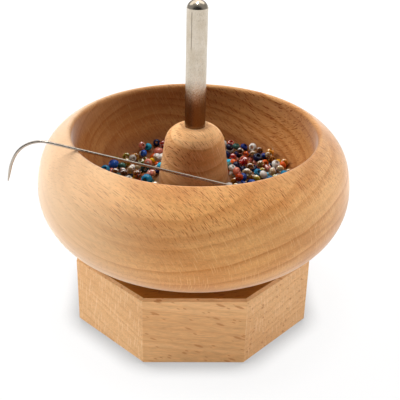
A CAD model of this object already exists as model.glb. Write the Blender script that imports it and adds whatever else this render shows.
"""Bead spinner: a turned beech bowl of loose seed beads that spins on a steel spindle."""
import math

import bpy
import numpy as np
from mathutils import Matrix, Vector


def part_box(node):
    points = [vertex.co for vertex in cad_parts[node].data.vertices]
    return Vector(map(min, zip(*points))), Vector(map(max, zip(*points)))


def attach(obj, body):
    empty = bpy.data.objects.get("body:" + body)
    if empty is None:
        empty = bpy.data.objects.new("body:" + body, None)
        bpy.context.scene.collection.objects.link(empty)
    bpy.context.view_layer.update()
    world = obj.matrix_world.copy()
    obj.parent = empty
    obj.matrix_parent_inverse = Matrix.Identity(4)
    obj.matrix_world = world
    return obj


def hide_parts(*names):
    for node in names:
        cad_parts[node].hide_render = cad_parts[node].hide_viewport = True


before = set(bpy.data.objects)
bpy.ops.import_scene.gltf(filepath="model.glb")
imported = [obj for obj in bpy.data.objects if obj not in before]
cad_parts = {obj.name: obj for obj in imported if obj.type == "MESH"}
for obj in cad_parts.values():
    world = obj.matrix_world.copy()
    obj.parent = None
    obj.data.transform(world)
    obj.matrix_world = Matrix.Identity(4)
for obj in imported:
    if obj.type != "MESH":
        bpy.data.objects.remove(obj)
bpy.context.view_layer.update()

MM = 0.001
scene = bpy.context.scene

# Camera: in front of the spinner and above its rim, so that the far wall of the bowl shows
# over the near one. The picture is framed low, with the tall spindle reaching its top edge.
camera_place = (-6.2 * MM, -207.8 * MM, 148.7 * MM)
camera_heading = math.radians(-1.72)
camera_dip = math.radians(25.15)
camera_roll = math.radians(1.245)
camera_data = bpy.data.cameras.new("camera")
camera_data.sensor_width = 36
camera_data.lens = 70.04
camera_data.shift_x = 0.0136
camera_data.shift_y = -0.1274
camera_data.clip_start = 0.01
camera = bpy.data.objects.new("camera", camera_data)
camera.location = camera_place
camera.rotation_euler = (Matrix.Rotation(camera_heading, 3, "Z")
                         @ Matrix.Rotation(math.pi / 2 - camera_dip, 3, "X")
                         @ Matrix.Rotation(camera_roll, 3, "Z")).to_euler()
scene.collection.objects.link(camera)
scene.camera = camera
scene.view_settings.view_transform = "Standard"


# Table and room: a white sweep that runs out to white all round. The camera, the steel and the
# glass see its own white, dimmed close to the spinner's foot, with a thin share of the lamps.
def srgb(red, green, blue):
    """A colour given in the 0-255 numbers of a colour picker, as linear light."""
    c = np.array([red, green, blue]) / 255
    return (*np.where(c < 0.04045, c / 12.92, ((c + 0.055) / 1.055) ** 2.4).tolist(), 1.0)


def connect(tree, node, feeds):
    """Links each socket, and sets each number or colour, on the input of its name."""
    for name, feed in feeds.items():
        if isinstance(feed, bpy.types.NodeSocket):
            tree.links.new(feed, node.inputs[name])
        else:
            node.inputs[name].default_value = feed


def put(tree, kind, feeds=None, out=0, **settings):
    """Adds a node, sets its properties, feeds its inputs and returns one of its outputs."""
    made = tree.nodes.new("ShaderNode" + kind)
    for name, value in settings.items():
        setattr(made, name, value)
    connect(tree, made, feeds or {})
    return made.outputs[out]


def calc(tree, operation, *feeds):
    """A Math node over its feeds."""
    return put(tree, "Math", dict(enumerate(feeds)), operation=operation)


def new_material(name):
    """An empty node material and its output node's surface socket."""
    material = bpy.data.materials.new(name)
    material.use_nodes = True
    material.node_tree.nodes.clear()
    end = material.node_tree.nodes.new("ShaderNodeOutputMaterial")
    return material, material.node_tree, end.inputs["Surface"]


def any_ray(tree, *names):
    """1 where the ray is one of the named kinds, otherwise 0."""
    rays = tree.nodes.new("ShaderNodeLightPath")
    total = rays.outputs[names[0]]
    for name in names[1:]:
        total = calc(tree, "MAXIMUM", total, rays.outputs[name])
    return total


floor_size = 6.0
floor_drop = 0.05 * MM
own_white = 0.915
white_from = 0.07
white_to = 0.25
shadow_reach = 7 * MM
shadow_dark = 0.56
shadow_from = 0.97
shadow_to = 0.52
table_paint = (0.86, 0.86, 0.86, 1)
shade_paint = (0.10, 0.10, 0.102, 1)
mesh = bpy.data.meshes.new("table_top")
s = floor_size / 2
mesh.from_pydata([(-s, -s, -floor_drop), (s, -s, -floor_drop), (s, s, -floor_drop),
                  (-s, s, -floor_drop)], [], [(0, 1, 2, 3)])
table_top = bpy.data.objects.new("table_top", mesh)
scene.collection.objects.link(table_top)
material, tree, end = new_material("white_sweep")
seen = any_ray(tree, "Is Camera Ray", "Is Glossy Ray", "Is Transmission Ray")
paint = put(tree, "BsdfDiffuse", {"Color": table_paint})
shade = put(tree, "BsdfDiffuse", {"Color": shade_paint})
far = put(tree, "VectorMath", {0: put(tree, "TexCoord", out="Object")}, out="Value",
          operation="LENGTH")
far = put(tree, "MapRange", {"Value": far, "From Min": white_from, "From Max": white_to,
                             "To Min": own_white, "To Max": 1.0})
open_sky = put(tree, "AmbientOcclusion", {"Distance": shadow_reach}, out="AO", samples=12)
near = put(tree, "MapRange", {"Value": open_sky, "From Min": shadow_to,
                              "From Max": shadow_from, "To Min": shadow_dark * own_white,
                              "To Max": far})
glow = put(tree, "Emission", {"Color": (1, 1, 1, 1), "Strength": near})
shown = put(tree, "AddShader", {0: shade, 1: glow})
tree.links.new(put(tree, "MixShader", {0: seen, 1: paint, 2: shown}), end)
mesh.materials.append(material)

low_fill = 0.15
high_fill = 0.03
fill_from = 0.02
fill_to = 0.22
wall = 0.35
skyline = (-0.02, 0.06)
front_dark = 0.06
front_from = -0.35
front_to = -0.75
front_rise = 0.12
world = bpy.data.worlds.new("studio")
scene.world = world
world.use_nodes = True
tree = world.node_tree
tree.nodes.clear()
mirrored = any_ray(tree, "Is Glossy Ray", "Is Transmission Ray")
toward = tree.nodes.new("ShaderNodeSeparateXYZ")
tree.links.new(put(tree, "TexCoord", out="Generated"), toward.inputs[0])
low = put(tree, "MapRange", {"Value": toward.outputs["Z"], "From Min": fill_from,
                             "From Max": fill_to, "To Min": low_fill, "To Max": high_fill})
room = put(tree, "MapRange", {"Value": toward.outputs["Z"], "From Min": skyline[0],
                              "From Max": skyline[1], "To Min": 1.0, "To Max": wall})
front = put(tree, "MapRange", {"Value": toward.outputs["Y"], "From Min": front_from,
                               "From Max": front_to, "To Max": 1 - front_dark})
above = put(tree, "MapRange", {"Value": toward.outputs["Z"], "From Min": 0.0,
                               "From Max": front_rise})
room = calc(tree, "MULTIPLY", room, calc(tree, "SUBTRACT", 1.0,
                                         calc(tree, "MULTIPLY", front, above)))
fill = put(tree, "Background", {"Color": (1, 1, 1, 1), "Strength": low})
walls = put(tree, "Background", {"Color": (1, 1, 1, 1), "Strength": room})
white = put(tree, "Background", {"Color": (1, 1, 1, 1), "Strength": 1.0})
lit = put(tree, "MixShader", {0: mirrored, 1: fill, 2: walls})
sky = tree.nodes.new("ShaderNodeOutputWorld")
tree.links.new(put(tree, "MixShader", {0: any_ray(tree, "Is Camera Ray"), 1: lit, 2: white}),
               sky.inputs["Surface"])


def softbox(name, place, width, height, watts, colour=(1, 1, 1), mirrored=True,
            aim=(0, 0, 0.04)):
    """An oblong lamp turned to face the bowl, its colour, and whether gloss mirrors it."""
    lamp = bpy.data.lights.new(name, "AREA")
    lamp.shape = "RECTANGLE"
    lamp.size = width
    lamp.size_y = height
    lamp.energy = watts
    lamp.color = colour
    holder = bpy.data.objects.new(name, lamp)
    holder.location = place
    holder.visible_glossy = mirrored
    holder.visible_transmission = False
    toward = (Matrix.Translation(place).inverted() @ Matrix.Translation(aim)).to_translation()
    holder.rotation_euler = toward.to_track_quat("-Z", "Y").to_euler()
    scene.collection.objects.link(holder)


softbox("lamp_left", (-0.74, 0.26, 0.11), 0.5, 0.22, 1.4, (0.80, 0.92, 1), mirrored=False)
softbox("lamp_right", (0.74, 0.30, 0.11), 0.5, 0.22, 2.6, mirrored=False)
softbox("lamp_front", (0.0, -0.80, 0.05), 1.2, 0.08, 2.0, (1, 0.94, 0.87), mirrored=False)
softbox("lamp_front_left", (-0.55, -0.55, 0.06), 0.4, 0.10, 0.85, (0.85, 0.95, 1),
        mirrored=False)
softbox("lamp_front_right", (0.55, -0.55, 0.06), 0.4, 0.10, 0.7, (0.90, 0.95, 1),
        mirrored=False)
softbox("lamp_back", (0.0, 0.80, 0.30), 0.9, 0.3, 1.2, mirrored=False)
softbox("lamp_above", (-0.04, 0.34, 0.66), 1.5, 0.6, 3.6, (1, 0.97, 0.92))
softbox("lamp_over_left", (-0.54, 0.25, 0.46), 0.4, 0.3, 3.6, mirrored=False)
softbox("lamp_over_right", (0.54, 0.20, 0.46), 0.4, 0.3, 1.0, mirrored=False)
softbox("lamp_top", (0.0, 0.0, 0.76), 0.16, 0.16, 1.85)


# Base: one block of beech sawn to eight sides, with its long edges eased. The growth layers
# lie nearly flat and the grain runs from side to side, so the slanted faces show end grain.
def separate(tree, vector):
    """The three numbers of a vector."""
    node = tree.nodes.new("ShaderNodeSeparateXYZ")
    tree.links.new(vector, node.inputs[0])
    return node.outputs[0], node.outputs[1], node.outputs[2]


def join(tree, x, y, z):
    """A vector of three numbers."""
    return put(tree, "CombineXYZ", {0: x, 1: y, 2: z})


def stretch(tree, vector, x, y, z):
    """A vector multiplied axis by axis."""
    return put(tree, "VectorMath", {0: vector, 1: (x, y, z)}, operation="MULTIPLY")


def noise(tree, vector, scale=1.0, detail=2.0, rough=0.5):
    """Soft noise from 0 to 1, about 0.5 in the middle."""
    return put(tree, "TexNoise", {"Vector": vector, "Scale": scale, "Detail": detail,
                                  "Roughness": rough})


def step_up(tree, feed, low, high):
    """0 below low and 1 above high, smooth between."""
    return put(tree, "MapRange", {"Value": feed, "From Min": low, "From Max": high},
               interpolation_type="SMOOTHSTEP")


def tint(tree, share, under, over, way="MIX"):
    """One colour laid over another by a share from 0 to 1."""
    return put(tree, "Mix", {0: share, 6: under, 7: over}, out=2,
               data_type="RGBA", blend_type=way)


def dim(tree, colour, light):
    """A colour made lighter or darker by one varying number."""
    return tint(tree, 1.0, colour, join(tree, light, light, light), "MULTIPLY")


def principled(tree, end, feeds):
    """Ends a material in a Principled shader with the given feeds."""
    tree.links.new(put(tree, "BsdfPrincipled", feeds), end)


def new_group(name, inputs, outputs):
    """An empty shader group, with the sockets of its input node and its output node."""
    tree = bpy.data.node_groups.new(name, "ShaderNodeTree")
    for sockets, way in ((inputs, "INPUT"), (outputs, "OUTPUT")):
        for label, kind in sockets:
            tree.interface.new_socket(name=label, in_out=way, socket_type="NodeSocket" + kind)
    return tree, tree.nodes.new("NodeGroupInput").outputs, tree.nodes.new("NodeGroupOutput").inputs


def flecks(tree, place, cell, half, share=1.0):
    """Lens-shaped flecks, one at a chance place in a share of the cells, with sizes in mm."""
    spread = stretch(tree, place, *(1 / c for c in cell))
    spot = put(tree, "TexVoronoi", {"Vector": spread, "Scale": 1.0}, out="Position")
    away = put(tree, "VectorMath", {0: spread, 1: spot}, operation="SUBTRACT")
    away = stretch(tree, away, *(c / h for c, h in zip(cell, half)))
    far = put(tree, "VectorMath", {0: away}, out="Value", operation="LENGTH")
    drawn = separate(tree, spot.node.outputs["Color"])[0]
    return calc(tree, "MULTIPLY", calc(tree, "LESS_THAN", drawn, share),
                step_up(tree, far, 1.0, 0.55))


tree, given, made = new_group(
    "beech",
    [("Place", "Vector"), ("Facing", "Vector"), ("Early wood", "Color"), ("Late wood", "Color"),
     ("Fleck", "Color"), ("Ray", "Color"), ("Layer width", "Float"), ("Flecks", "Float"),
     ("Fleck share", "Float"), ("Fleck size", "Vector"), ("Fleck slope", "Float")],
    [("Color", "Color"), ("Roughness", "Float"), ("Height", "Float")])
layer_wander = 5.0
layer_bow = 260.0
layer_uneven = 2.2
late_from = 0.35
late_full = 0.93
fibre_dark = 0.85
fibre_light = 1.13
long_cell, long_half = (3.4, 0.55, 2.2), (1.65, 0.085, 0.8)
short_cell, short_half = (1.3, 0.38, 1.3), (0.6, 0.055, 0.45)
ray_cell, ray_half = (4.0, 0.60, 5.0), (1.8, 0.12, 2.2)
place = given["Place"]
u, v, w = separate(tree, place)
wander = calc(tree, "MULTIPLY", calc(tree, "SUBTRACT",
              noise(tree, stretch(tree, place, 0.010, 0.028, 0.028), detail=3), 0.5),
              layer_wander)
bow = calc(tree, "DIVIDE", calc(tree, "MULTIPLY", v, v), layer_bow)
depth = calc(tree, "DIVIDE", calc(tree, "ADD", calc(tree, "ADD", w, bow), wander),
             given["Layer width"])
uneven = noise(tree, join(tree, 0.0, 0.0, depth), scale=0.55, detail=1)
depth = calc(tree, "ADD", depth, calc(tree, "MULTIPLY", uneven, layer_uneven))
phase = calc(tree, "FRACT", depth)
year = put(tree, "TexWhiteNoise", {"W": calc(tree, "FLOOR", depth)}, noise_dimensions="1D")
late = calc(tree, "MULTIPLY", step_up(tree, phase, late_from, late_full),
            calc(tree, "SUBTRACT", 1.0, step_up(tree, phase, late_full, 1.0)))
late = calc(tree, "MULTIPLY", late, calc(tree, "MULTIPLY_ADD", year, 0.7, 0.3))
band = noise(tree, stretch(tree, place, 0.012, 0.05, 0.11), detail=2)
fibre = noise(tree, stretch(tree, place, 0.16, 2.6, 2.6), detail=4, rough=0.65)
streak = noise(tree, stretch(tree, place, 0.05, 0.8, 1.2), detail=3, rough=0.6)
colour = tint(tree, step_up(tree, band, 0.36, 0.64), given["Early wood"],
              tint(tree, 0.62, given["Early wood"], given["Late wood"]))
colour = tint(tree, calc(tree, "MULTIPLY", late, 0.95), colour, given["Late wood"])
colour = tint(tree, calc(tree, "MULTIPLY", step_up(tree, streak, 0.45, 0.75), 0.30),
              colour, given["Late wood"])
light = put(tree, "MapRange", {"Value": fibre, "From Min": 0.3, "From Max": 0.7,
                               "To Min": fibre_dark, "To Max": fibre_light})
colour = dim(tree, colour, light)
sloping = join(tree, u, v, calc(tree, "MULTIPLY_ADD", u, given["Fleck slope"], w))
finer = put(tree, "VectorMath", {0: sloping, 1: given["Fleck size"]}, operation="DIVIDE")
share = given["Fleck share"]
long_flecks = flecks(tree, finer, long_cell, long_half, share)
short_flecks = flecks(tree, finer, short_cell, short_half, share)
shown = calc(tree, "MULTIPLY", calc(tree, "MAXIMUM", long_flecks,
                                    calc(tree, "MULTIPLY", short_flecks, 0.9)), given["Flecks"])
end_grain = put(tree, "VectorMath", {0: given["Facing"], 1: (1, 0, 0)}, out="Value",
                operation="DOT_PRODUCT")
end_grain = calc(tree, "MULTIPLY", end_grain, end_grain)
rays = flecks(tree, place, ray_cell, ray_half)
rays = calc(tree, "MULTIPLY", rays, step_up(tree, end_grain, 0.20, 0.5))
shown = calc(tree, "MULTIPLY", shown, calc(tree, "SUBTRACT", 1.0,
                                           step_up(tree, end_grain, 0.30, 0.80)))
colour = tint(tree, shown, colour, given["Fleck"])
colour = tint(tree, calc(tree, "MULTIPLY", rays, 0.6), colour, given["Ray"])
tree.links.new(colour, made["Color"])
tree.links.new(calc(tree, "MULTIPLY_ADD", fibre, 0.20, 0.46), made["Roughness"])
tree.links.new(calc(tree, "SUBTRACT", calc(tree, "MULTIPLY", fibre, 0.5),
                    calc(tree, "MULTIPLY", shown, 0.25)), made["Height"])
beech = tree


def wood(tree, grain, across, centre, layer, flecked, share, size, slope, early, late, fleck, ray):
    """Beech whose grain runs along the first direction and whose layers face the second."""
    along = np.array(grain) / np.linalg.norm(grain)
    layers = np.array(across) - np.dot(across, along) * along
    layers = layers / np.linalg.norm(layers)
    side = np.cross(layers, along)
    turn = Matrix((along, side, layers)).to_euler()
    spot = tree.nodes.new("ShaderNodeTexCoord")
    place = put(tree, "Mapping", {"Vector": spot.outputs["Object"], "Scale": (1000, 1000, 1000),
                                  "Rotation": turn, "Location": centre})
    facing = put(tree, "Mapping", {"Vector": spot.outputs["Normal"], "Rotation": turn},
                 vector_type="VECTOR")
    grown = tree.nodes.new("ShaderNodeGroup")
    grown.node_tree = beech
    connect(tree, grown, {"Place": place, "Facing": facing, "Early wood": early,
                          "Late wood": late, "Fleck": fleck, "Ray": ray, "Layer width": layer,
                          "Flecks": flecked, "Fleck share": share, "Fleck size": size,
                          "Fleck slope": slope})
    return grown.outputs["Color"], grown.outputs["Roughness"], grown.outputs["Height"]


def dress(node, material):
    """Gives a carried-over part its material in every slot."""
    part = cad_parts[node]
    for slot in part.material_slots:
        slot.material = material
    return part


top_tone = (0.68, 0.51, 0.16, 1)
grain_depth = 0.05 * MM
material, tree, end = new_material("beech_block")
colour, rough, height = wood(
    tree, grain=(1, 0.12, -0.06), across=(0.03, -0.07, 1), centre=(3.0, 7.0, 2.0), layer=2.4,
    flecked=0.7, share=0.4, size=(1.3, 4.5, 0.6), slope=0.30, early=srgb(227, 180, 129),
    late=srgb(211, 158, 106), fleck=srgb(180, 116, 64), ray=srgb(242, 208, 166))
up = separate(tree, put(tree, "TexCoord", out="Normal"))[2]
colour = tint(tree, step_up(tree, up, 0.8, 0.95), colour, top_tone, "MULTIPLY")
bump = put(tree, "Bump", {"Height": height, "Strength": 0.35, "Distance": grain_depth})
principled(tree, end, {"Base Color": colour, "Roughness": rough, "Specular IOR Level": 0.2,
                       "Sheen Weight": 0.1, "Sheen Roughness": 0.4, "Normal": bump})
dress("base_block", material)


# Bush and ball: the spindle turns in a bronze bush pressed into the block and stands on one
# hardened steel ball. Both are out of sight until the bowl and the spindle are lifted off.
material, tree, end = new_material("bored_bronze")
spot = put(tree, "TexCoord", out="Object")
rub = noise(tree, stretch(tree, spot, 900, 900, 5200), detail=3)
colour = tint(tree, rub, srgb(192, 150, 92), srgb(216, 178, 120))
rough = calc(tree, "MULTIPLY_ADD", rub, 0.22, 0.20)
principled(tree, end, {"Base Color": colour, "Roughness": rough, "Metallic": 1.0})
dress("spindle_bush", material)

material, tree, end = new_material("hardened_steel")
spot = put(tree, "TexCoord", out="Object")
rub = noise(tree, stretch(tree, spot, 1500, 1500, 1500), detail=3)
colour = tint(tree, rub, srgb(176, 178, 182), srgb(206, 207, 209))
rough = calc(tree, "MULTIPLY_ADD", rub, 0.10, 0.08)
principled(tree, end, {"Base Color": colour, "Roughness": rough, "Metallic": 1.0})
dress("thrust_ball", material)


# Spindle: a steel rod, turned, domed at its end and plated a warm nickel. The plating has a
# fine frosted grain, keeps one drawn line, and is stained brown where it leaves the hub.
stain_from, stain_full = 54 * MM, 57 * MM
stain_fade, stain_end = 68 * MM, 75 * MM
stain_tone = (0.42, 0.32, 0.24, 1)
line_at = math.radians(-121)
line_core, line_edge = 0.02, 0.075
line_low = (84 * MM, 88 * MM)
line_high = (93.5 * MM, 92.5 * MM)
material, tree, end = new_material("nickel_plate")
spot = put(tree, "TexCoord", out="Object")
frost = noise(tree, stretch(tree, spot, 2600, 2600, 2200), detail=3, rough=0.6)
cloud = noise(tree, stretch(tree, spot, 500, 500, 260), detail=4, rough=0.6)
colour = tint(tree, step_up(tree, cloud, 0.3, 0.7), srgb(195, 182, 163), srgb(209, 198, 182))
pits = put(tree, "MapRange", {"Value": frost, "From Min": 0.30, "From Max": 0.45,
                              "To Min": 0.76, "To Max": 1.0})
colour = dim(tree, colour, pits)
x, y, height = separate(tree, spot)
stain = calc(tree, "MULTIPLY",
             step_up(tree, calc(tree, "MULTIPLY_ADD", frost, 6 * MM, height), stain_end,
                     stain_fade),
             step_up(tree, height, stain_from, stain_full))
colour = tint(tree, stain, colour, stain_tone, "MULTIPLY")
turned = calc(tree, "ARCTAN2", y, x)
off_line = calc(tree, "ABSOLUTE", calc(tree, "SUBTRACT", turned, line_at))
line = calc(tree, "MULTIPLY", step_up(tree, off_line, line_edge, line_core),
            step_up(tree, calc(tree, "MULTIPLY_ADD", cloud, 8 * MM, height), *line_low))
line = calc(tree, "MULTIPLY", line, step_up(tree, height, *line_high))
colour = tint(tree, calc(tree, "MULTIPLY", line, 0.75), colour, srgb(126, 116, 100))
rough = calc(tree, "MULTIPLY_ADD", frost, 0.22, 0.10)
bump = put(tree, "Bump", {"Height": frost, "Strength": 0.5, "Distance": 0.03 * MM})
principled(tree, end, {"Base Color": colour, "Roughness": rough, "Metallic": 1.0,
                       "Normal": bump})
dress("spindle", material)


# Bowl: turned from one piece of beech, thick in the belly and drawn in to a rounded lip, with
# a hub left standing in the middle for the rod. Sanded fine, it keeps faint rings of the tool.
bowl_low, bowl_high = (np.array(corner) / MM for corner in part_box("bowl"))
under_z = bowl_low[2]
belly_r = 16.8
side_r = 26.3
side_angle = 15
shoulder_r = 15
mouth_r = 35.6
lip_r = 1.1
floor_z = under_z + 13.5
corner_r = 11
wall_r = 24
hub_h = 20.6
hub_d = 21
hub_lean = 8.2
hub_crown_r = 5.8
hub_flare_r = 4.5
bore_r = 3.05


def polar(angle):
    """A unit step in the direction of an angle in degrees."""
    return np.array([math.cos(math.radians(angle)), math.sin(math.radians(angle))])


def arc(centre, radius, start, stop, count):
    """Points along an arc, all but the first."""
    angles = np.radians(np.linspace(start, stop, count + 1)[1:])
    return np.asarray(centre) + radius * np.stack([np.cos(angles), np.sin(angles)], 1)


def skin(name, points, closed_u=True, closed_v=True, smooth=True):
    """A mesh piece over a grid of points, rows by columns, joined round where it is closed."""
    rows, columns = points.shape[:2]
    i = np.arange(rows if closed_u else rows - 1)[:, None]
    j = np.arange(columns if closed_v else columns - 1)[None, :]
    across, down = (j + 1) % columns, (i + 1) % rows
    quads = np.stack([i * columns + j, i * columns + across, down * columns + across,
                      down * columns + j], -1).reshape(-1, 4)
    return solid(name, points.reshape(-1, 3), quads, smooth)


def solid(name, points, faces, smooth=True):
    """A piece at the origin from points in millimetres and faces of equal length."""
    mesh = bpy.data.meshes.new(name)
    faces = np.asarray(faces)
    sides = faces.shape[1]
    mesh.vertices.add(len(points))
    mesh.vertices.foreach_set("co", (np.asarray(points) * MM).ravel())
    mesh.loops.add(faces.size)
    mesh.loops.foreach_set("vertex_index", faces.ravel())
    mesh.polygons.add(len(faces))
    mesh.polygons.foreach_set("loop_start", np.arange(len(faces)) * sides)
    mesh.polygons.foreach_set("loop_total", np.full(len(faces), sides))
    mesh.polygons.foreach_set("use_smooth", np.full(len(faces), smooth))
    mesh.update(calc_edges=True)
    mesh.validate()
    piece = bpy.data.objects.new(name, mesh)
    scene.collection.objects.link(piece)
    return piece


outer_r = bowl_high[0]
belly_c = np.array([outer_r - belly_r, under_z + belly_r])
side_c = np.array([outer_r - side_r, belly_c[1]])
shoulder_c = side_c + (side_r - shoulder_r) * polar(side_angle)
lip_reach = mouth_r + lip_r - shoulder_c[0]
lip_c = np.array([mouth_r + lip_r,
                  shoulder_c[1] + math.sqrt((shoulder_r - lip_r) ** 2 - lip_reach ** 2)])
lip_angle = math.degrees(math.atan2(lip_c[1] - shoulder_c[1], lip_reach))
wall_c = np.array([mouth_r - wall_r, lip_c[1]])
corner_y = floor_z + corner_r
corner_c = np.array([wall_c[0] + math.sqrt((wall_r - corner_r) ** 2
                                           - (lip_c[1] - corner_y) ** 2), corner_y])
wall_angle = math.degrees(math.atan2(corner_c[1] - wall_c[1], corner_c[0] - wall_c[0]))
flare_c = np.array([hub_d / 2 + hub_flare_r * polar(hub_lean)[0], floor_z + hub_flare_r])
foot = flare_c - hub_flare_r * polar(hub_lean)
hub_top = floor_z + hub_h
crown_z = hub_top - hub_crown_r * (1 - polar(hub_lean)[1])
crown_x = foot[0] - (crown_z - foot[1]) * math.tan(math.radians(hub_lean))
crown_c = np.array([crown_x, crown_z]) - hub_crown_r * polar(hub_lean)


def straight(start, stop, count):
    """Points along a line, all but the first."""
    share = np.linspace(0, 1, count + 1)[1:, None]
    return np.asarray(start) * (1 - share) + np.asarray(stop) * share


section = np.concatenate([
    straight((bore_r, under_z), (belly_c[0], under_z), 14),
    arc(belly_c, belly_r, -90, 0, 34),
    arc(side_c, side_r, 0, side_angle, 9),
    arc(shoulder_c, shoulder_r, side_angle, lip_angle, 22),
    arc(lip_c, lip_r, lip_angle, 180, 10),
    arc(wall_c, wall_r, 0, wall_angle, 16),
    arc(corner_c, corner_r, wall_angle, -90, 16),
    straight((corner_c[0], floor_z), (flare_c[0], floor_z), 6),
    arc(flare_c, hub_flare_r, -90, -180 + hub_lean, 10),
    straight(foot, (crown_x, crown_z), 10),
    arc(crown_c, hub_crown_r, hub_lean, 90, 14),
    straight((crown_c[0], hub_top), (bore_r, hub_top), 3),
    straight((bore_r, hub_top), (bore_r, under_z), 20)])
turns = 240
sheen_out = 0.6
sheen_in = 0.1
sap_share = 0.62
sap_colour = srgb(228, 197, 162)
sap_side = (8, -30)
inside_tone = (0.68, 0.545, 0.40, 1)
hub_tone = (1.33, 1.47, 1.66, 1)
rim_tone = (1.15, 1.12, 1.08, 1)
floor_tone = (0.62, 0.54, 0.46, 1)
heart_place = (8, -40, 40)
heart_reach = (46, 16)
near_side = (-22, -38)
heap_fade = (floor_z + 8, floor_z + 3)
above_floor = (floor_z - 1, floor_z - 0.5)
fleck_least = 0.25
heart_tone = (0.93, 0.84, 0.68, 1)
around = np.radians(np.arange(turns) * 360 / turns)
ring = np.stack([np.cos(around), np.sin(around)], 1)
bowl_grid = np.concatenate([section[:, None, :1] * ring[None],
                            np.broadcast_to(section[:, None, 1:], (len(section), turns, 1))], 2)
bowl_turned = skin("bowl_turned", bowl_grid[:, ::-1])
material, tree, end = new_material("beech_bowl")
spot = stretch(tree, put(tree, "TexCoord", out="Object"), 1000, 1000, 1000)
x, y, z = separate(tree, spot)
radius = calc(tree, "SQRT", calc(tree, "ADD", calc(tree, "MULTIPLY", x, x),
                                 calc(tree, "MULTIPLY", y, y)))
marks = noise(tree, join(tree, radius, z, 0.0), scale=1.6, detail=3)
light = put(tree, "MapRange", {"Value": marks, "From Min": 0.3, "From Max": 0.7,
                               "To Min": 0.95, "To Max": 1.04})
inside = calc(tree, "MULTIPLY", step_up(tree, z, *above_floor), calc(
    tree, "MULTIPLY", step_up(tree, radius, hub_d / 2, hub_d / 2 + hub_flare_r),
    calc(tree, "SUBTRACT", 1.0, step_up(tree, radius, mouth_r - 0.3, lip_c[0]))))
on_hub = calc(tree, "MULTIPLY", step_up(tree, z, floor_z + 6, floor_z + 3 * hub_flare_r),
              step_up(tree, radius, hub_d / 2 + 1, hub_d / 2))
rim = step_up(tree, z, lip_c[1] - 13, lip_c[1] - 4)
flecked = calc(tree, "MAXIMUM", rim, calc(tree, "MAXIMUM", inside, on_hub))
colour, rough, height = wood(
    tree, grain=(0.68, -0.66, -0.22), across=(-0.14, -0.35, 1), centre=(0, 4.0, 1.0), layer=2.9,
    flecked=calc(tree, "MULTIPLY_ADD", flecked, 1 - fleck_least, fleck_least), share=1.0,
    size=(1, 1, 1),
    slope=0.0, early=srgb(223, 172, 117), late=srgb(192, 130, 73), fleck=srgb(148, 74, 26),
    ray=srgb(229, 186, 136))
colour = dim(tree, colour, light)
drift = noise(tree, stretch(tree, spot, 0.02, 0.02, 0.05), detail=2)
sap = step_up(tree, calc(tree, "MULTIPLY_ADD", drift, 24.0, x), *sap_side)
sap = calc(tree, "MULTIPLY", sap, calc(tree, "MULTIPLY_ADD", inside, -sap_share, sap_share))
colour = tint(tree, sap, colour, sap_colour)
heart = put(tree, "VectorMath", {0: spot, 1: heart_place}, out="Value", operation="DISTANCE")
heart = step_up(tree, calc(tree, "MULTIPLY_ADD", drift, 20.0, heart), *heart_reach)
colour = tint(tree, heart, colour, heart_tone, "MULTIPLY")
colour = tint(tree, inside, colour, inside_tone, "MULTIPLY")
near_rim = calc(tree, "MULTIPLY", step_up(tree, z, lip_c[1] - 9, lip_c[1] - 2),
                step_up(tree, y, *near_side))
colour = tint(tree, near_rim, colour, rim_tone, "MULTIPLY")
within = calc(tree, "MULTIPLY", step_up(tree, z, *above_floor),
              step_up(tree, radius, mouth_r, mouth_r - 1))
under_beads = calc(tree, "MULTIPLY", within, step_up(tree, z, *heap_fade))
colour = tint(tree, under_beads, colour, floor_tone, "MULTIPLY")
colour = tint(tree, on_hub, colour, hub_tone, "MULTIPLY")
sheen = calc(tree, "MULTIPLY_ADD", within, sheen_in - sheen_out, sheen_out)
height = calc(tree, "MULTIPLY_ADD", marks, 0.6, height)
bump = put(tree, "Bump", {"Height": height, "Strength": 0.35, "Distance": grain_depth})
principled(tree, end, {"Base Color": colour, "Roughness": rough, "Specular IOR Level": 0.2,
                       "Sheen Weight": sheen, "Sheen Roughness": 0.35, "Normal": bump})
bowl_turned.data.materials.append(material)
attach(bowl_turned, "bowl")
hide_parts("bowl")


# Torn fibres: where the drill came out on top of the hub, the wood stands up in a fringe of
# fine splinters round the rod. Each is a thin three-sided spike, bent over at its tip.
fibre_count = 170
fringe_gap = 0.25
fringe_width = 0.9
fringe_sink = 0.03
chance = np.random.default_rng(11)
at = chance.uniform(0, 2 * math.pi, fibre_count)
start = bore_r + fringe_gap + fringe_width * chance.random(fibre_count) ** 2
reach = chance.uniform(0.3, 1.1, fibre_count)
lift = chance.uniform(0.05, 0.5, fibre_count) * reach
turn = chance.normal(0, 0.5, fibre_count)
thick = chance.uniform(0.03, 0.07, fibre_count)
away = np.stack([np.cos(at), np.sin(at), 0 * at], 1)
heading = np.stack([np.cos(at + turn), np.sin(at + turn), 0 * at], 1)
aside = np.stack([-np.sin(at + turn), np.cos(at + turn), 0 * at], 1)
upward = np.array([0, 0, 1.0])
root = away * start[:, None] + (hub_top - fringe_sink) * upward
bend = root + heading * (0.6 * reach)[:, None] + upward * lift[:, None]
tips = root + heading * reach[:, None] + upward * (0.6 * lift)[:, None]
wide, high = aside * thick[:, None], upward * 1.4 * thick[:, None]
points = np.stack([root + wide, root - wide, root + high, bend + 0.6 * wide, bend - 0.6 * wide,
                   bend + 0.6 * high, tips], 1)
one = np.array([(0, 3, 4), (0, 4, 1), (1, 4, 5), (1, 5, 2), (2, 5, 3), (2, 3, 0), (3, 6, 4),
                (4, 6, 5), (5, 6, 3), (0, 1, 2)])
faces = (one[None] + 7 * np.arange(fibre_count)[:, None, None]).reshape(-1, 3)
torn_fibres = solid("torn_fibres", points.reshape(-1, 3), faces, smooth=False)
material, tree, end = new_material("torn_beech")
spot = put(tree, "TexCoord", out="Object")
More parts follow.
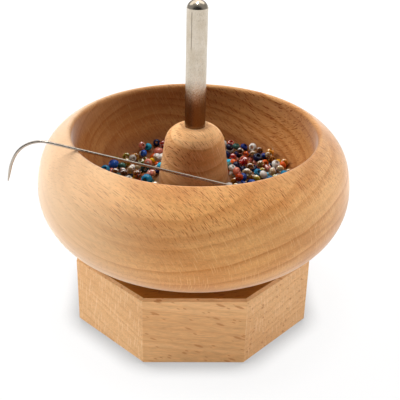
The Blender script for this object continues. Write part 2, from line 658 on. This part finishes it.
mottle = noise(tree, stretch(tree, spot, 1800, 1800, 1800), detail=2)
colour = tint(tree, mottle, srgb(206, 158, 112), srgb(240, 208, 172))
principled(tree, end, {"Base Color": colour, "Roughness": 0.7})
torn_fibres.data.materials.append(material)
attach(torn_fibres, "bowl")


# Needle: a long beading needle of spring wire. It lies on the lip with its eye down among the
# beads, and its other end hooks over and runs out to a fine point, which picks the beads up.
needle_d = 0.8
needle_at = 206.6
needle_heading = 3
needle_slope = 15.8
needle_inner = 51
needle_outer = 7.8
hook_r = 8
hook_angle = 75
point_r = 15
point_angle = 18
point_l = 3.8
point_d = 0.2
eye_w = 1.3
eye_t = 0.6
eye_slot_l = 4
eye_slot_w = 0.6
draw_points, slow_points, hook_points = 6, 8, 26
shank_points, ease_points, flat_points = 30, 8, 3
needle_gap = 0.15
needle_lift = lip_r + needle_gap + needle_d / 2
needle_along = np.array([math.cos(math.radians(needle_slope)), 0,
                         -math.sin(math.radians(needle_slope))])
needle_up = np.array([math.sin(math.radians(needle_slope)), 0,
                      math.cos(math.radians(needle_slope))])
needle_from = np.array([0, 0, lip_c[1]]) + needle_lift * needle_up


def in_bowl(along, up, side):
    """Points of the needle, given along it, up from it and sideways, in the bowl's own frame."""
    spots = (needle_from + along[..., None] * needle_along + up[..., None] * needle_up
             + side[..., None] * np.array([0, 1, 0]))
    turn = np.array(Matrix.Rotation(math.radians(needle_heading), 3, "Z"))
    return spots @ turn.T + [*(lip_c[0] * polar(needle_at)), 0]


def wire(places, ups, widths, depths, sides=14):
    """Ovals of the given widths and depths, strung square to a bent middle line."""
    round_it = np.radians(np.arange(sides) * 360 / sides)
    out = np.outer(depths / 2, np.sin(round_it))
    lean = np.radians(ups)[:, None]
    return in_bowl(places[:, :1] + out * np.cos(lean), places[:, 1:] + out * np.sin(lean),
                   np.outer(widths / 2, np.cos(round_it)))


hook_c = np.array([-needle_outer, -hook_r])
slow_c = hook_c + (hook_r - point_r) * polar(90 + hook_angle)
point_up = 90 + hook_angle + point_angle
point_start = slow_c + point_r * polar(point_up)
eye_start = needle_inner - eye_slot_l - 3 * eye_w
eye_full = eye_start + eye_w
slot_start = needle_inner - eye_w - eye_slot_l + eye_slot_w / 2
tip = point_start + point_l * polar(point_up + 90)
places = np.concatenate([
    [tip], straight(tip, point_start, draw_points),
    arc(slow_c, point_r, point_up, 90 + hook_angle, slow_points),
    arc(hook_c, hook_r, 90 + hook_angle, 90, hook_points),
    straight((-needle_outer, 0), (eye_start, 0), shank_points),
    straight((eye_start, 0), (eye_full, 0), ease_points),
    straight((eye_full, 0), (slot_start, 0), flat_points), [(slot_start, 0)]])
ups = np.concatenate([np.full(draw_points + 1, point_up),
                      np.linspace(point_up, 90 + hook_angle, slow_points + 1)[1:],
                      np.linspace(90 + hook_angle, 90, hook_points + 1)[1:],
                      np.full(shank_points + ease_points + flat_points + 1, 90)])
draw = np.linspace(0, 1, draw_points + 1)[1:] ** 0.7
ease = (1 - np.cos(np.linspace(0, math.pi, ease_points + 1)[1:])) / 2


def thickness(eye):
    """The wire's thickness at each place: drawn to a point, round, and eased to the eye."""
    return np.concatenate([[0], point_d + (needle_d - point_d) * draw,
                           np.full(slow_points + hook_points + shank_points, needle_d),
                           needle_d + (eye - needle_d) * ease, np.full(flat_points, eye), [0]])


needle_wire = skin("needle_wire", wire(places, ups, thickness(eye_w), thickness(eye_t)),
                   closed_u=False)


def oblong(start, stop, radius, count=10):
    """Points round an oblong with half-round ends, along the needle and across it."""
    return np.concatenate([arc((start + radius, 0), radius, 90, 270, count),
                           arc((stop - radius, 0), radius, -90, 90, count)])


inner = oblong(slot_start, needle_inner - eye_w + eye_slot_w / 2, eye_slot_w / 2)[:, None]
outer = oblong(eye_full, needle_inner, eye_w / 2)[:, None]
swing = np.radians(np.arange(10) * 36)
flat = inner + (outer - inner) * (1 - np.cos(swing))[None, :, None] / 2
rise = np.broadcast_to(eye_t / 2 * np.sin(swing), flat.shape[:2])
needle_eye = skin("needle_eye", in_bowl(flat[..., 0], rise, flat[..., 1]))

material, tree, end = new_material("needle_steel")
spot = put(tree, "TexCoord", out="Object")
drawn = noise(tree, stretch(tree, spot, 260, 2600, 2600), detail=3)
dull = noise(tree, stretch(tree, spot, 300, 300, 300), detail=2)
colour = tint(tree, dull, srgb(168, 156, 144), srgb(206, 196, 184))
rough = calc(tree, "MULTIPLY_ADD", drawn, 0.20, 0.16)
principled(tree, end, {"Base Color": colour, "Roughness": rough, "Metallic": 1.0})
for piece in (needle_wire, needle_eye):
    piece.data.materials.append(material)
    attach(piece, "needle")
    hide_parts("needle")


# Beads: about four hundred glass seed beads lie loose in the bowl, in fourteen kinds. Each is a
# short length of drawn tube, its rims melted round. Three of the clear kinds are lined with foil.
bead_sides = 12
bead_length = 0.84
bead_swell = 0.05
bead_hole = 0.36
bead_rim = 0.30
bead_bulge = (74, 38, 0, -38, -74)
lining_gap = 0.03
lining_wall = 0.08
lining_half = 0.26
bead_kinds = (
    ("navy", "solid", (7, 8, 30), (20, 24, 68), None),
    ("royal_blue", "solid", (10, 32, 106), (24, 86, 178), None),
    ("turquoise", "solid", (4, 104, 150), (44, 184, 216), None),
    ("white", "pearl", (160, 156, 146), (252, 249, 244), None),
    ("pink", "clear", (226, 120, 108), (246, 176, 160), (240, 190, 176)),
    ("coral", "pearl", (164, 66, 48), (226, 132, 108), None),
    ("amber", "clear", (160, 80, 0), (242, 166, 8), (160, 94, 4)),
    ("yellow", "solid", (206, 136, 4), (240, 194, 20), None),
    ("red", "clear", (170, 12, 10), (206, 32, 22), None),
    ("orange", "solid", (180, 54, 8), (222, 96, 20), None),
    ("green", "solid", (14, 44, 40), (58, 100, 88), None),
    ("olive", "clear", (108, 116, 8), (204, 182, 28), None),
    ("brown", "clear", (62, 26, 8), (158, 92, 18), None),
    ("crystal", "clear", (138, 98, 40), (232, 208, 158), (140, 98, 36)))


def loose_solids(node):
    """The corners of each separate solid of a carried-over part, in millimetres."""
    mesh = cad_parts[node].data
    spots = np.empty(3 * len(mesh.vertices))
    ends = np.empty(2 * len(mesh.edges), int)
    mesh.vertices.foreach_get("co", spots)
    mesh.edges.foreach_get("vertices", ends)
    spots, number = np.unique(np.round(spots.reshape(-1, 3) / MM, 3), axis=0, return_inverse=True)
    ends = number.ravel()[ends].reshape(-1, 2)
    group = np.arange(len(spots))
    while True:
        lowest = group.copy()
        np.minimum.at(lowest, ends[:, 0], group[ends[:, 1]])
        np.minimum.at(lowest, ends[:, 1], group[ends[:, 0]])
        lowest = lowest[lowest]
        if (lowest == group).all():
            return [spots[group == first] for first in np.unique(group)]
        group = lowest


def rings(centres, frames, radii, heights):
    """A closed profile of radii and heights turned round the axis of each bead in turn."""
    angle = np.radians(np.arange(bead_sides) * 360 / bead_sides)
    x = radii[:, :, None] * np.cos(angle)
    y = radii[:, :, None] * np.sin(angle)
    z = np.broadcast_to(heights[:, :, None], x.shape)
    return centres[:, None, None] + np.einsum("bpsk,bkc->bpsc", np.stack([x, y, z], -1), frames)


def ring_faces(beads, profile):
    """The four-cornered faces of rings, bead by bead."""
    i, j = np.meshgrid(np.arange(profile), np.arange(bead_sides), indexing="ij")
    down, across = (i + 1) % profile, (j + 1) % bead_sides
    one = np.stack([i * bead_sides + j, i * bead_sides + across, down * bead_sides + across,
                    down * bead_sides + j], -1).reshape(-1, 4)
    return (one[None] + np.arange(beads)[:, None, None] * profile * bead_sides).reshape(-1, 4)


chance = np.random.default_rng(7)
for name, kind, dark, light, lining in bead_kinds:
    found = loose_solids("beads_" + name)
    centres = np.array([spots.mean(0) for spots in found])
    frames = np.array([np.linalg.eigh(np.cov(spots.T))[1].T[::-1] for spots in found])
    sizes = 2 * np.array([np.linalg.norm(np.cross(spots - centre, axes[2]), axis=1).max()
                          for spots, centre, axes in zip(found, centres, frames)])
    sizes += 2 * bead_swell
    frames[:, 1] = np.cross(frames[:, 2], frames[:, 0])
    count = len(found)
    hole = bead_hole / 2 * chance.uniform(0.8, 1.2, (count, 1))
    squat = chance.uniform(0.82, 1.0, (count, 1))
    bulge = np.radians(bead_bulge)
    radii = np.concatenate([hole, bead_length / 2 * np.cos(bulge) + (1 - bead_length) / 2
                            + 0 * hole, hole], 1) * sizes[:, None]
    heights = np.concatenate([squat * bead_rim, squat * bead_length / 2 * np.sin(bulge),
                              squat * -bead_rim], 1) * sizes[:, None]
    points = rings(centres, frames, radii, heights).reshape(-1, 3)
    faces = ring_faces(count, 7)
    skins = np.zeros(len(faces), int)
    if lining:
        least = hole + lining_gap
        deep = np.concatenate([least, least, least + lining_wall], 1) * sizes[:, None]
        reach = np.concatenate([squat * lining_half, squat * -lining_half, 0 * squat],
                               1) * sizes[:, None]
        core = rings(centres, frames, deep, reach).reshape(-1, 3)
        core_faces = ring_faces(count, 3)[:, ::-1] + len(points)
        points, faces = np.concatenate([points, core]), np.concatenate([faces, core_faces])
        skins = np.concatenate([skins, np.ones(len(core_faces), int)])
    beads = solid("glass_" + name, points, faces)
    beads.data.polygons.foreach_set("material_index", skins)
    tone = np.repeat(chance.random(count), 7 * bead_sides)
    tone = np.concatenate([tone, np.zeros(len(points) - len(tone))])
    beads.data.attributes.new("tone", "FLOAT", "POINT").data.foreach_set("value", tone)

    material, tree, end = new_material("glass_" + name)
    tone = put(tree, "Attribute", out="Fac", attribute_name="tone")
    colour = tint(tree, tone, srgb(*dark), srgb(*light))
    gloss = {"solid": {"Roughness": 0.07, "Specular IOR Level": 0.35},
             "pearl": {"Roughness": 0.22, "Coat Weight": 0.4, "Coat Roughness": 0.06},
             "clear": {"Roughness": 0.07, "Transmission Weight": 0.6, "IOR": 1.42}}[kind]
    principled(tree, end, {"Base Color": colour, **gloss})
    beads.data.materials.append(material)
    if lining:
        material, tree, end = new_material("lining_" + name)
        spot = put(tree, "TexCoord", out="Object")
        foil = noise(tree, stretch(tree, spot, 2400, 2400, 2400), detail=2)
        colour = tint(tree, foil, srgb(*lining), srgb(*(min(255, c + 20) for c in lining)))
        principled(tree, end, {"Base Color": colour, "Roughness": 0.28, "Metallic": 0.6})
        beads.data.materials.append(material)
    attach(beads, "bowl")
    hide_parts("beads_" + name)
